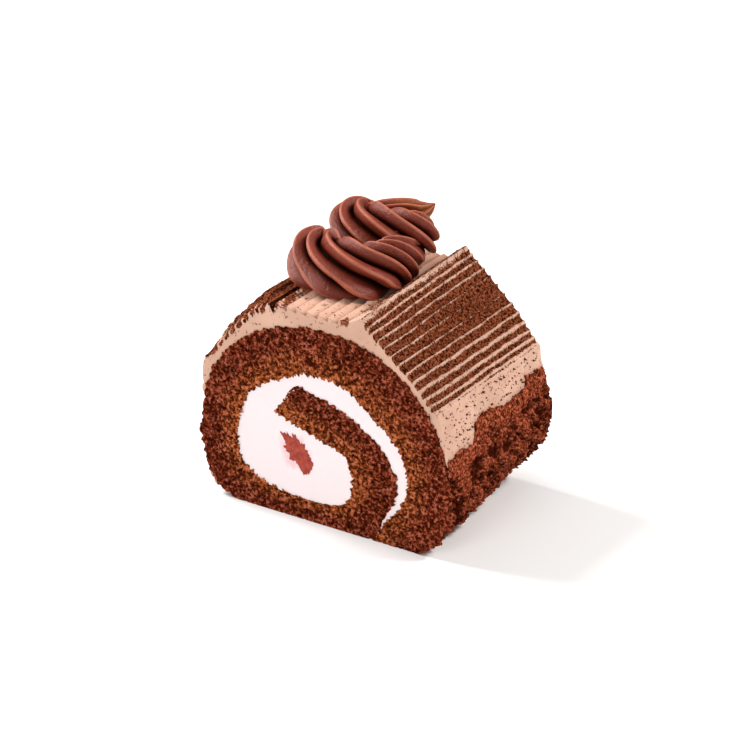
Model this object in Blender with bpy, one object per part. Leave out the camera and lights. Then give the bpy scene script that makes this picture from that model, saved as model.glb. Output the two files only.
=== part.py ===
"""Swiss roll cake slice: a cocoa sponge sheet rolled round milk cream and a strawberry sauce core,
under a combed chocolate cream coat, with a rope of chocolate cream piped in two loops on top.

Lengths in the tables are millimetres. X runs across the cut face, Y runs from the cut face (front) to
the back, and Z is up. The origin is on the table, under the middle of the slice."""

import math

import bmesh
import bpy
import numpy as np

MM = 0.001
DEPTH = 52.0
FRONT, BACK = -DEPTH / 2, DEPTH / 2
GAP = 0.3  # air left between neighbouring pieces

# The sponge sheet, from its inner end to its outer end, as cuts straight across it:
# (inner side x, z), (outer side x, z). The first seven rows are the arm inside the cream.
SHEET_CUTS = (
    ((-15.0, 30.0), (-8.0, 39.0)),
    ((-8.0, 27.5), (-1.0, 37.3)),
    ((0.0, 25.2), (8.0, 34.1)),
    ((7.5, 22.3), (17.0, 29.1)),
    ((9.8, 17.0), (23.2, 21.0)),
    ((9.2, 11.0), (22.6, 13.0)),
    ((6.0, 7.5), (19.2, 7.1)),
    ((-1.0, 6.2), (15.2, 0.0)),
    ((-10.0, 6.4), (-4.0, 0.0)),
    ((-19.0, 8.1), (-22.0, 0.0)),
    ((-25.6, 12.5), (-33.5, 3.2)),
    ((-27.1, 19.0), (-38.2, 13.5)),
    ((-26.0, 26.5), (-38.1, 25.5)),
    ((-22.5, 33.8), (-34.5, 37.5)),
    ((-14.0, 39.5), (-24.0, 49.0)),
    ((-4.0, 43.3), (-9.0, 55.5)),
    ((7.0, 42.3), (8.0, 56.2)),
    ((17.0, 35.5), (23.0, 50.7)),
    ((24.3, 28.8), (34.0, 39.5)),
    ((27.3, 20.0), (39.4, 26.0)),
    ((25.0, 11.8), (39.3, 12.6)),
    ((20.2, 6.0), (36.4, 4.6)),
    ((16.5, 0.0), (30.5, 0.0)),
)
STEPS_A_CUT = 5
SEAM_ROW = 7  # where the arm's outer side reaches the table
LEFT_FOOT_ROW = 9  # where the sheet leaves the table again on the left
SKIN_ROWS = (10, 12.4)  # the coat is a thin skin on the left side between these
SKIRT_ROWS = (16, 20)  # the stretch of the right side that the coat's skirt hangs over
SKIRT_TOP_ROW = 18

# Torn crumb on the bare right side, from the skirt's top row on.
CRAG_STEPS_Y = 16
CRAG_HEIGHT = 1.3
CRAG_DEPTH = 0.9  # share of the height by which the torn crumb lies inside the sheet's side
CRAG_START = 3.2  # how far below the coat the crumb begins to stand out
CRAG_FADE = 3.0  # it grows from there, and dies out above the table, over this height
CRAG_WAVES = (  # share of the height, radians per mm along Y and along Z, start
    (0.40, 0.83, 0.47, 0.0),
    (0.35, -0.61, 0.91, 1.3),
    (0.30, 1.71, 1.33, 2.1),
    (0.25, -1.49, 1.57, 0.4),
)
UNDERCUT = 7.0  # how far the lower right corner draws in at the back
UNDERCUT_TOP = 22.0
UNDERCUT_X = (20.0, 34.0)

# Strawberry sauce core, as a smooth loop round these corners.
SAUCE_CORNERS = (
    (-12.2, 24.0),
    (-8.3, 23.2),
    (-4.3, 22.0),
    (-2.8, 17.6),
    (-6.2, 13.6),
    (-8.4, 17.0),
    (-11.2, 19.4),
)
SAUCE_STEPS = 3
SAUCE_GAP = 0.45
CUTTER_MARGIN = 1.0

# The coat's outer outline, from its lower edge on the right to its lower edge on the left.
RIGHT_PANEL = ((35.9, 42.0), (29.2, 49.8), (24.0, 54.0), (19.0, 58.2), (12.6, 63.5))
CHANNEL = ((8.6, 61.5), (-14.0, 61.2))
GROOVE = (-15.2, 59.0)
LEFT_PANEL = ((-16.2, 60.9), (-21.5, 60.4), (-26.0, 56.2), (-32.0, 49.8), (-38.0, 42.4))
LEFT_SIDE = ((-38.3, 40.0), (-38.4, 34.5))
PANEL_STEPS = 4
RIGHT_COMB, CHANNEL_COMB, LEFT_COMB = (13, 0.75), (7, 0.25), (8, 0.3)  # teeth, valley's place in each
TOOTH_DEPTH = 0.8
CREST_RISE = 1.8  # how much higher the right panel's crest lies at the back
CREST_WIDTH = 3.0
SKIN = 0.9
SKIRT_THICKNESS = (2.1, 0.6)  # at its top and at its lower edge
SKIRT_STEPS = 4
SKIRT_STEPS_Y = 16
SKIRT_EDGE = (27.5, 35.5)  # height of the coat's lower edge at the cut face and further back
SKIRT_EDGE_RUN = 11.0  # it rises over this depth
SKIRT_WAVES = ((1.1, 0.55, 0.6), (0.7, 1.27, 0.0))  # height, radians per mm, start

# The piped rope: loops seen from above, (angle, half width, height of its middle, radius).
# The angle is 0 at a loop's right end and -90 at the side nearest the cut face.
ROPE_MIDDLE = (-4.4, -0.6)
ROPE_REACH_Y = 6.4
ROPE_SLANT = -0.16  # the loops lean towards the cut face on their right side
ROPE_PITCH = 15.6
ROPE_STATIONS = (
    (-262, 5.5, 65.5, 4.0),
    (-225, 8.5, 66.5, 6.6),
    (-180, 11.4, 66.6, 7.8),
    (-90, 11.0, 66.8, 8.2),
    (0, 8.8, 66.4, 7.7),
    (90, 8.4, 66.4, 6.8),
    (180, 8.6, 70.4, 7.5),
    (270, 9.8, 71.6, 8.2),
    (372, 8.8, 68.6, 6.9),
)
ROPE_BLUR = (1, 2, 3, 2, 1)  # weights that smooth the values between stations
ROPE_STEP_DEG = 13
ROPE_PIECE_STEPS = 9
ROPE_TWIST = -8.0  # degrees for each millimetre of rope, so that the ribs sweep down and outwards
SQUEEZE = 0.7  # share of a bend's radius that the rope's inner side may fill
DIVE = 0.94  # size of a piece's end where it lies inside the next piece
RIBS = 8
POINTS_A_RIB = 4
RIB_DEPTH = 0.38
RIB_ROUNDNESS = 0.8
TAIL = (  # x, y, z and radius, as for the core
    (-11.0, 13.0, 72.5, 3.8),
    (-6.5, 16.0, 74.3, 3.4),
    (-2.3, 18.6, 75.2, 2.7),
    (1.5, 21.0, 75.8, 1.8),
    (4.2, 23.0, 76.6, 0.2),
)
CORE = (
    (-8.0, -5.0, 65.5, 3.0),
    (-5.5, 2.0, 66.0, 5.4),
    (-5.0, 10.0, 66.5, 5.8),
    (-4.0, 17.0, 67.0, 4.0),
)
TAIL_STEPS = 3
STRAIGHT = 1000.0  # turning radius of a stretch that hardly bends
BED_X = (-60.0, -21.5, -14.0, 7.4, 13.1, 60.0)  # the swirl's underside follows the coat at these
BED_EDGE_Z = 25.0
BED_MARGIN = 20.0


def clear_scene():
    for obj in list(bpy.data.objects):
        bpy.data.objects.remove(obj, do_unlink=True)


def material(name, colour, roughness):
    made = bpy.data.materials.new(name)
    made.use_nodes = True
    shader = made.node_tree.nodes["Principled BSDF"]
    shader.inputs["Base Color"].default_value = (*colour, 1.0)
    shader.inputs["Roughness"].default_value = roughness
    shader.inputs["Metallic"].default_value = 0.0
    return made


def add_object(name, points, faces, finish):
    """A mesh object from points in millimetres, with its faces turned outwards."""
    mesh = bpy.data.meshes.new(name)
    mesh.from_pydata([tuple(point) for point in np.asarray(points) * MM], [], faces)
    shape = bmesh.new()
    shape.from_mesh(mesh)
    bmesh.ops.recalc_face_normals(shape, faces=shape.faces)
    shape.to_mesh(mesh)
    shape.free()
    obj = bpy.data.objects.new(name, mesh)
    bpy.context.collection.objects.link(obj)
    if finish:
        mesh.materials.append(finish)
    return obj


def smooth_through(points, steps, closed=False):
    """A Catmull-Rom curve through the points, with the given steps from each one to the next."""
    points = np.asarray(points, float)
    if closed:
        points = np.vstack([points[-1], points, points[:2]])
    else:
        points = np.vstack([2 * points[0] - points[1], points, 2 * points[-1] - points[-2]])
    t = (np.arange(steps) / steps)[:, None]
    spans = [
        0.5 * (2 * b + (c - a) * t + (2 * a - 5 * b + 4 * c - d) * t**2 + (3 * b - a - 3 * c + d) * t**3)
        for a, b, c, d in zip(points, points[1:], points[2:], points[3:])
    ]
    curve = np.vstack(spans)
    return curve if closed else np.vstack([curve, points[-2]])


def ease(value):
    """0 below 0, 1 above 1, and a smooth rise between."""
    value = np.clip(value, 0.0, 1.0)
    return value * value * (3 - 2 * value)


def lengths_along(line):
    """Distance along a line from its first point to each of its points."""
    return np.concatenate([[0.0], np.cumsum(np.linalg.norm(np.diff(line, axis=0), axis=1))])


def points_along(line, distances):
    lengths = lengths_along(line)
    return np.column_stack([np.interp(distances, lengths, values) for values in line.T])


def offset(curve, distance):
    """The curve moved sideways, to the right of its direction for a positive distance."""
    along = np.gradient(curve, axis=0)
    along /= np.linalg.norm(along, axis=1)[:, None]
    return curve + distance * np.column_stack([along[:, 1], -along[:, 0]])


def sheet_sides():
    """The sheet's inner and outer sides as matching rows of points, flat where they meet the table."""
    cuts = np.array(SHEET_CUTS).reshape(len(SHEET_CUTS), 4)
    curve = smooth_through(cuts, STEPS_A_CUT)
    inner, outer = curve[:, :2], curve[:, 2:]
    outer[SEAM_ROW * STEPS_A_CUT : LEFT_FOOT_ROW * STEPS_A_CUT + 1, 1] = 0.0
    outer[:, 1] = np.maximum(outer[:, 1], 0.0)
    return inner, outer


def skirt_edge(y):
    """Height of the coat's ragged lower edge on the right side, by depth."""
    rise = ease((y - FRONT) / SKIRT_EDGE_RUN)
    waves = sum(height * np.sin(y * pace + start) for height, pace, start in SKIRT_WAVES)
    return SKIRT_EDGE[0] + (SKIRT_EDGE[1] - SKIRT_EDGE[0] + waves) * rise


def crag(y, z):
    """Height of the torn crumb, about -1 to 1: crossed waves, none a multiple of another."""
    return sum(share * np.sin(y * a + z * b + start) for share, a, b, start in CRAG_WAVES)


def undercut(x, y, z):
    """How far the lower right corner of the sponge is drawn in, more of it towards the back."""
    low = ease((UNDERCUT_TOP - z) / UNDERCUT_TOP)
    right = ease((x - UNDERCUT_X[0]) / (UNDERCUT_X[1] - UNDERCUT_X[0]))
    return UNDERCUT * low * right * ease((y - FRONT) / DEPTH)


class Band:
    """A closed band between two sides, each a list of rows of points that run from front to back.

    A row has its two end points, or more where the side is uneven along its depth."""

    def __init__(self):
        self.points = []
        self.faces = []

    def row(self, points):
        start = len(self.points)
        self.points.extend(points)
        return list(range(start, len(self.points)))

    def straight_row(self, point):
        x, z = point
        return self.row([(x, FRONT, z), (x, BACK, z)])

    def side(self, rows):
        """Faces between neighbouring rows. Rows of different length share one face."""
        for this, following in zip(rows, rows[1:]):
            if len(this) == len(following):
                for k in range(len(this) - 1):
                    self.faces.append((this[k], this[k + 1], following[k + 1], following[k]))
            else:
                self.faces.append((*this, *reversed(following)))

    def close(self, first, second):
        """Both sides, the front and back faces between them, and the band's two ends."""
        self.side(first)
        self.side(second)
        for end in (0, -1):
            for a, b, c, d in zip(first, first[1:], second[1:], second):
                self.faces.append((a[end], b[end], c[end], d[end]))
            self.faces.append((*first[end], *reversed(second[end])))


def torn_point(point, outward, y):
    """A point of the right side, moved by the undercut and by the torn crumb."""
    x, z = point
    x -= undercut(x, y, z)
    bare = ease((skirt_edge(y) - CRAG_START - z) / CRAG_FADE) * ease(z / CRAG_FADE)
    bump = CRAG_HEIGHT * bare * (crag(y, z) - CRAG_DEPTH)
    return x + bump * outward[0], y, max(z + bump * outward[1], 0.0)


def sponge(finish):
    inner, outer = sheet_sides()
    outward = outer - inner
    outward /= np.linalg.norm(outward, axis=1)[:, None]
    depths = np.linspace(FRONT, BACK, CRAG_STEPS_Y + 1)
    smooth_rows = SKIRT_TOP_ROW * STEPS_A_CUT
    band = Band()
    inner_rows = [band.straight_row(point) for point in inner]
    outer_rows = [band.straight_row(point) for point in outer[:smooth_rows]]
    for point, normal in zip(outer[smooth_rows:], outward[smooth_rows:]):
        outer_rows.append(band.row([torn_point(point, normal, y) for y in depths]))
    band.close(inner_rows, outer_rows)
    return add_object("sponge", band.points, band.faces, finish)


def prism(name, outline, front, back, finish):
    count = len(outline)
    points = [(x, front, z) for x, z in outline] + [(x, back, z) for x, z in outline]
    sides = [(i, (i + 1) % count, count + (i + 1) % count, count + i) for i in range(count)]
    faces = [tuple(range(count)), tuple(range(count, 2 * count)), *sides]
    return add_object(name, points, faces, finish)


def milk_cream(finish):
    """What is left between the turns of the sheet, a gap's width clear of them."""
    inner, outer = sheet_sides()
    inner_line = offset(inner, GAP)
    arm_line = offset(outer[: SEAM_ROW * STEPS_A_CUT + 1], -GAP)
    arm_end = inner[0] - outer[0]
    arm_end /= np.linalg.norm(arm_end)
    beyond = np.array([-abs(arm_end[1]), abs(arm_end[0])]) * GAP
    inner_line[0] += beyond
    arm_line[0] += beyond
    outline = np.vstack([inner_line[::-1], arm_line])
    return prism("milk_cream", outline[outline[:, 1] > GAP], FRONT, BACK, finish)


def sauce_loop():
    return smooth_through(SAUCE_CORNERS, SAUCE_STEPS, closed=True)


def strawberry_sauce(finish):
    return prism("strawberry_sauce", sauce_loop(), FRONT, BACK, finish)


def cut_sauce_hole(cream):
    loop = sauce_loop()
    middle = loop.mean(axis=0)
    away = loop - middle
    wider = middle + away * (1 + SAUCE_GAP / np.linalg.norm(away, axis=1)[:, None])
    cutter = prism("sauce_hole", wider, FRONT - CUTTER_MARGIN, BACK + CUTTER_MARGIN, None)
    cutter.hide_render = True
    cutter.display_type = "WIRE"
    hole = cream.modifiers.new("sauce_hole", "BOOLEAN")
    hole.operation = "DIFFERENCE"
    hole.object = cutter


def combed(line, comb):
    """A smooth line cut by a comb: its even points are ridges, and the points between are valleys."""
    teeth, valley = comb
    places = np.array([[tooth, tooth + valley] for tooth in range(teeth)]).ravel()
    places = np.append(places, teeth) / teeth
    ridged = points_along(line, places * lengths_along(line)[-1])
    ridged[1:-1:2] = offset(ridged, -TOOTH_DEPTH)[1:-1:2]
    return ridged


def coat_outline():
    """The coat's outer line over the top, from the right panel's lower end to the left side."""
    right = combed(smooth_through(RIGHT_PANEL, PANEL_STEPS), RIGHT_COMB)
    channel = combed(np.array(CHANNEL), CHANNEL_COMB)
    left = combed(smooth_through(LEFT_PANEL, PANEL_STEPS), LEFT_COMB)
    return np.vstack([right, channel, [GROOVE], left, LEFT_SIDE])


def coat_lines():
    """The coat's outer and inner lines as matching points, from the skirt's top to the left foot."""
    _, sheet = sheet_sides()
    foot, side_top = (round(row * STEPS_A_CUT) for row in SKIN_ROWS)
    skin_line = sheet[foot : side_top + 1][::-1]
    over_line = sheet[side_top + 1 : SKIRT_TOP_ROW * STEPS_A_CUT + 1][::-1]
    top = coat_outline()
    shares = lengths_along(top) / lengths_along(top)[-1]
    under = points_along(over_line, shares * lengths_along(over_line)[-1])
    inner = offset(np.vstack([under, skin_line]), GAP)
    outer = np.vstack([top, offset(skin_line, GAP + SKIN)])
    return outer, inner


def sponge_side(height):
    """X of the sponge's right side at a height."""
    _, outer = sheet_sides()
    first, last = (row * STEPS_A_CUT for row in SKIRT_ROWS)
    right = outer[first:last][::-1]
    return np.interp(height, right[:, 1], right[:, 0])


def choco_coat(finish):
    outer, inner = coat_lines()
    band = Band()
    inner_rows, outer_rows = [], []
    depths = np.linspace(FRONT, BACK, SKIRT_STEPS_Y + 1)
    for step in range(SKIRT_STEPS, 0, -1):
        share = step / SKIRT_STEPS
        heights = inner[0, 1] + (skirt_edge(depths) - inner[0, 1]) * share
        thickness = SKIRT_THICKNESS[0] + (SKIRT_THICKNESS[1] - SKIRT_THICKNESS[0]) * share
        beside = sponge_side(heights) + GAP
        outer_rows.append(band.row(list(zip(beside + thickness, depths, heights))))
        inner_rows.append(band.row(list(zip(beside, depths, heights))))
    foot, crest = RIGHT_PANEL[0], RIGHT_PANEL[-1]
    for x, z in outer:
        on_panel = ease((x - CHANNEL[0][0]) / CREST_WIDTH)
        rise = CREST_RISE * on_panel * ease((z - foot[1]) / (crest[1] - foot[1]))
        outer_rows.append(band.row([(x, FRONT, z), (x, BACK, z + rise)]))
    inner_rows += [band.straight_row(point) for point in inner]
    band.close(inner_rows, outer_rows)
    return add_object("choco_coat", band.points, band.faces, finish)


def rope_line():
    """The rope's middle line, radius and turning radius at every step of its angle."""
    table = np.array(ROPE_STATIONS, float)
    angles = np.arange(table[0, 0], table[-1, 0] + 1, ROPE_STEP_DEG)
    weights = np.array(ROPE_BLUR) / sum(ROPE_BLUR)
    reach = len(ROPE_BLUR) // 2
    between = [np.interp(angles, table[:, 0], column) for column in table.T[1:]]
    width, height, radius = (
        np.convolve(np.pad(values, reach, mode="edge"), weights, mode="valid") for values in between
    )
    turn = np.radians(angles)
    x = ROPE_MIDDLE[0] + width * np.cos(turn)
    y = ROPE_MIDDLE[1] + ROPE_PITCH * (angles + 90) / 360 + ROPE_REACH_Y * np.sin(turn)
    y += ROPE_SLANT * (x - ROPE_MIDDLE[0])
    pace = (width * np.sin(turn)) ** 2 + (ROPE_REACH_Y * np.cos(turn)) ** 2
    bend = pace**1.5 / (width * ROPE_REACH_Y)
    return np.column_stack([x, y, height]), radius, bend


def star(radius, twist):
    """Section of the star nozzle: (outward, up) for each point, with sharp crests and round valleys."""
    count = RIBS * POINTS_A_RIB
    turn = np.arange(count) / count * 2 * math.pi
    depth = np.abs(np.sin(turn * RIBS / 2)) ** RIB_ROUNDNESS
    reach = radius * (1 - RIB_DEPTH * depth)
    return reach * np.cos(turn + twist), reach * np.sin(turn + twist)


def rings(line, radii, bends, twists):
    """Star sections along a line. On the inside of a bend they are squeezed short of its centre."""
    along = np.gradient(line, axis=0)
    along /= np.linalg.norm(along, axis=1)[:, None]
    outward = np.cross(along, (0.0, 0.0, 1.0))
    outward /= np.linalg.norm(outward, axis=1)[:, None]
    upward = np.cross(outward, along)
    made = []
    for k in range(len(line)):
        out, up = star(radii[k], twists[k])
        limit = SQUEEZE * bends[k]
        out = np.where(out < 0, limit * np.tanh(out / limit), out)
        made.append(line[k] + out[:, None] * outward[k] + up[:, None] * upward[k])
    return made


def tube(name, line, sections):
    """A closed tube through the sections, each end closed by a fan to the line."""
    count = len(sections[0])
    points = np.vstack([*sections, line[:1], line[-1:]])
    last = (len(sections) - 1) * count
    faces = []
    for i in range(count):
        following = (i + 1) % count
        for near in range(0, last, count):
            far = near + count
            faces.append((near + i, near + following, far + following, far + i))
        faces.append((following, i, len(points) - 2))
        faces.append((last + i, last + following, len(points) - 1))
    return add_object(name, points, faces, None)


def swirl_bed():
    """Everything below the coat's upper line, a gap higher, to shape the underside of the swirl."""
    crest_z = RIGHT_PANEL[-1][1] + CREST_RISE
    heights = (BED_EDGE_Z, LEFT_PANEL[0][1], CHANNEL[1][1], CHANNEL[0][1], crest_z, BED_EDGE_Z)
    line = [(x, z + GAP) for x, z in zip(BED_X, heights)]
    return prism("swirl_bed", line, FRONT - BED_MARGIN, BACK + BED_MARGIN, None)


def keep_outer_shell(mesh):
    """Fills any hollow that the joined turns seal: only the shell with the most faces stays."""
    shape = bmesh.new()
    shape.from_mesh(mesh)
    waiting = set(shape.faces)
    shells = []
    while waiting:
        shell, edge = [], [waiting.pop()]
        while edge:
            face = edge.pop()
            shell.append(face)
            near = {other for side in face.edges for other in side.link_faces} & waiting
            waiting -= near
            edge.extend(near)
        shells.append(shell)
    shells.sort(key=len)
    for shell in shells[:-1]:
        bmesh.ops.delete(shape, geom=shell, context="FACES")
    shape.to_mesh(mesh)
    shape.free()


def rope_pieces():
    """The rope cut into short tubes, each end of which dives inside the next one, the tail
    flicked off its end, and a core that closes the hollow in its loops."""
    line, radii, bends = rope_line()
    sections = rings(line, radii, bends, np.radians(ROPE_TWIST) * lengths_along(line))
    starts = range(0, len(line) - 1 - ROPE_PIECE_STEPS // 2, ROPE_PIECE_STEPS)
    pieces = []
    for start in starts:
        end = len(line) if start == starts[-1] else start + ROPE_PIECE_STEPS + 2
        own_line = line[start:end]
        own = [section.copy() for section in sections[start:end]]
        for k, joined in ((0, start > 0), (-1, end < len(line))):
            if joined:
                own[k] = own_line[k] + DIVE * (own[k] - own_line[k])
        pieces.append(tube("piped_swirl", own_line, own))
    for name, stations in (("tail", TAIL), ("core", CORE)):
        curve = smooth_through(stations, TAIL_STEPS)
        bends, twists = np.full(len(curve), STRAIGHT), np.zeros(len(curve))
        pieces.append(tube(name, curve[:, :3], rings(curve[:, :3], curve[:, 3], bends, twists)))
    return pieces


def boolean(obj, name, operation):
    modifier = obj.modifiers.new(name, "BOOLEAN")
    modifier.operation = operation
    modifier.solver = "MANIFOLD"  # the exact solver leaves open creases where the turns cross
    return modifier


def piped_swirl(finish):
    swirl, *others = rope_pieces()
    joined = bpy.data.collections.new("swirl_pieces")
    for piece in others:
        joined.objects.link(piece)
    union = boolean(swirl, "union", "UNION")
    union.operand_type = "COLLECTION"
    union.collection = joined
    bed = swirl_bed()
    boolean(swirl, "bed", "DIFFERENCE").object = bed
    graph = bpy.context.evaluated_depsgraph_get()
    mesh = bpy.data.meshes.new_from_object(swirl.evaluated_get(graph))
    swirl.modifiers.clear()
    swirl.data = mesh
    for obj in (*others, bed):
        bpy.data.objects.remove(obj, do_unlink=True)
    bpy.data.collections.remove(joined)
    keep_outer_shell(mesh)
    mesh.materials.clear()
    mesh.materials.append(finish)


def main():
    clear_scene()
    sponge(material("cocoa_sponge", (0.17, 0.055, 0.025), 0.9))
    cream = milk_cream(material("milk_cream", (0.95, 0.90, 0.90), 0.45))
    strawberry_sauce(material("strawberry_sauce", (0.50, 0.05, 0.035), 0.35))
    cut_sauce_hole(cream)
    choco_coat(material("chocolate_cream", (0.62, 0.40, 0.27), 0.6))
    piped_swirl(material("piped_chocolate", (0.19, 0.05, 0.03), 0.4))


main()
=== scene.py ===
# A slice of cocoa swiss roll: its crumb, creams, sauce, cocoa powder and piped swirl.
# Shapes are worked out in millimetres. X runs across the cut face, Y from the front to the back, Z is up.
import math

import bmesh
import bpy
import numpy as np
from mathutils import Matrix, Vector


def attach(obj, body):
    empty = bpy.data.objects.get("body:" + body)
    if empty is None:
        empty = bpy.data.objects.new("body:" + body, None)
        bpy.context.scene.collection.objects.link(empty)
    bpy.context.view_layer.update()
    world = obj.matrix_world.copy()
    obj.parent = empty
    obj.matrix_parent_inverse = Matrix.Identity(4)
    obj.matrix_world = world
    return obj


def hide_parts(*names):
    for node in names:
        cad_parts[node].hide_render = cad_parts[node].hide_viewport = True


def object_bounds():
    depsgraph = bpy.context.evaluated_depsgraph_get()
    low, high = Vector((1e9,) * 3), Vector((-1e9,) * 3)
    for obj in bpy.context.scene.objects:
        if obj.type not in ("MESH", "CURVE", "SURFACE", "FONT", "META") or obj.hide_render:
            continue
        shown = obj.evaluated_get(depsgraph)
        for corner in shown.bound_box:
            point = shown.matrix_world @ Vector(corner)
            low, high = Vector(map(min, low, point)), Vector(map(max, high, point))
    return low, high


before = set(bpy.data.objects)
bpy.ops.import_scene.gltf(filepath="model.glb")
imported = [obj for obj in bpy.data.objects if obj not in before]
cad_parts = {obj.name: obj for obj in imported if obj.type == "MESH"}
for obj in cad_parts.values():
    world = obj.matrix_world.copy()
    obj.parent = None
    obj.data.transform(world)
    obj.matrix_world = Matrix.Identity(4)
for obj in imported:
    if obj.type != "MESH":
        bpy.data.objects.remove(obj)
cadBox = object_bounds()
print("frame loaded:", ", ".join(sorted(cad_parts)))

mm = 0.001
frontY, backY = cadBox[0][1] / mm, cadBox[1][1] / mm
rightX = cadBox[1][0] / mm

# Straight cuts across the sponge sheet, from its inner end in the cream to its outer end on the
# table: inner side x, z, then outer side x, z.
sheetCuts = (
    (-15.0, 30.0, -8.0, 39.0), (-8.0, 27.5, -1.0, 37.3),
    (0.0, 25.2, 8.0, 34.1), (7.5, 22.3, 17.0, 29.1),
    (9.8, 17.0, 23.2, 21.0), (9.2, 11.0, 22.6, 13.0),
    (6.0, 7.5, 19.2, 7.1), (-1.0, 6.2, 15.2, 0.0),
    (-10.0, 6.4, -4.0, 0.0), (-19.0, 8.1, -22.0, 0.0),
    (-25.6, 12.5, -33.5, 3.2), (-27.1, 19.0, -38.2, 13.5),
    (-26.0, 26.5, -38.1, 25.5), (-22.5, 33.8, -34.5, 37.5),
    (-14.0, 39.5, -24.0, 49.0), (-4.0, 43.3, -9.0, 55.5),
    (7.0, 42.3, 8.0, 56.2), (17.0, 35.5, 23.0, 50.7),
    (24.3, 28.8, 34.0, 39.5), (27.3, 20.0, 39.4, 26.0),
    (25.0, 11.8, 39.3, 12.6), (20.2, 6.0, 36.4, 4.6),
    (16.5, 0.0, 30.5, 0.0),
)
seamRow, leftFootRow = 7, 9  # between these cuts the sheet lies on the table
skinRows = (10, 12.3)  # the coat's thin skin covers the left side between these
bareRow = 18  # from this cut on, the right side is bare torn crumb
latticeShift = 511.37  # keeps the cake's middle off the corners of the noise's lattice


def ease(value):
    # 0 below 0, 1 above 1, and 3v^2 - 2v^3 between
    value = np.clip(value, 0.0, 1.0)
    return value * value * (3 - 2 * value)


def throughPoints(points, steps):
    # Catmull-Rom curve: a cubic from each point to the next, with the slopes of their neighbours
    p = np.asarray(points, float)
    p = np.vstack([2 * p[0] - p[1], p, 2 * p[-1] - p[-2]])
    a, b, c, d = (p[i : len(p) - 3 + i, None, :] for i in range(4))
    t = (np.arange(steps) / steps)[None, :, None]
    curve = 2 * b + (c - a) * t + (2 * a - 5 * b + 4 * c - d) * t**2 + (3 * b - a - 3 * c + d) * t**3
    return np.vstack([0.5 * curve.reshape(-1, p.shape[1]), p[-2]])


def lengthsAlong(line):
    return np.concatenate([[0.0], np.cumsum(np.linalg.norm(np.diff(line, axis=0), axis=1))])


def readAt(where, lengths, table):
    # every column of a table, between its rows
    return np.column_stack([np.interp(where, lengths, column) for column in table.T])


def pointsAlong(line, distances):
    return readAt(distances, lengthsAlong(line), line)


def unit(vectors):
    return vectors / np.linalg.norm(vectors, axis=1)[:, None]


def xyz(x, y, z):
    return np.stack([x, y, z], axis=-1)


def latticeValue(ix, iy, iz, seed):
    # whole-number hash of a lattice place, as a value from -1 to 1
    n = ix * 73856093 ^ iy * 19349663 ^ iz * 83492791 ^ seed * 15485863
    n = (n ^ (n >> 13)) * 1274126177
    return ((n ^ (n >> 16)) & 0xFFFF) / 32767.5 - 1.0


def noiseAt(x, y, z, size, seed):
    # value noise: the hashed values at the corners of cubes of this size, joined by eased steps. The
    # cubes are turned, so that their faces don't show beside a grid's rows.
    x, y, z = np.broadcast_arrays(*(np.asarray(v, float) / size for v in (x, y, z)))
    places = (0.36 * x + 0.48 * y - 0.8 * z, 0.6 * y - 0.8 * x, 0.48 * x + 0.64 * y + 0.6 * z)
    places = [place + latticeShift for place in places]
    low = [np.floor(place).astype(np.int64) for place in places]
    part = [ease(place - floor) for place, floor in zip(places, low)]
    total = 0.0
    for corner in range(8):
        step = [(corner >> axis) & 1 for axis in range(3)]
        weight = 1.0
        for on, share in zip(step, part):
            weight = weight * (share if on else 1 - share)
        total = total + weight * latticeValue(low[0] + step[0], low[1] + step[1], low[2] + step[2], seed)
    return total


def roughAt(x, y, z, size, seed, octaves=2):
    # noise, plus noise half the size and 0.55 as high, and so on
    total, height = 0.0, 1.0
    for octave in range(octaves):
        total = total + height * noiseAt(x, y, z, size / 2**octave, seed + octave)
        height *= 0.55
    return total


def sheetSection(spacing=None):
    # The sheet's two sides, read at equal steps of the length of its middle line
    steps = 40
    curve = throughPoints(sheetCuts, steps)
    rows = np.arange(len(curve)) / steps
    curve[(rows >= seamRow) & (rows <= leftFootRow), 3] = 0.0
    curve[:, 3] = np.maximum(curve[:, 3], 0.0)
    lengths = lengthsAlong((curve[:, :2] + curve[:, 2:]) / 2)
    if spacing:
        stations = np.linspace(0, lengths[-1], round(lengths[-1] / spacing) + 1)
        curve = readAt(stations, lengths, curve)
        rows, lengths = np.interp(stations, lengths, rows), stations
    return curve[:, :2], curve[:, 2:], rows, lengths


def depthShare(y):
    return (y - frontY) / (backY - frontY)


def undercut(x, y, z):
    # The lower right corner draws in by 7 mm towards the back, from x 20 to 34 and below z 22
    return 7.0 * ease((22.0 - z) / 22.0) * ease((x - 20.0) / 14.0) * ease(depthShare(y))


# where crumb meets the skirt on the bare right side: distance behind the cut face, height
skirtLine = (
    (0, 28.8), (3.5, 28.6), (5, 29.6), (8.5, 29.2),
    (13, 28.8), (14.5, 30.8), (15.8, 33.2), (19, 34.0),
    (24, 33.8), (28.5, 33.0), (34, 32.4), (36.6, 33.4),
    (41.5, 33.8), (43, 35.8), (47, 35.2), (52, 35.0),
)


def coatEdge(y):
    depths, heights = np.array(skirtLine).T
    return np.interp(y - frontY, depths, heights)


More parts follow.
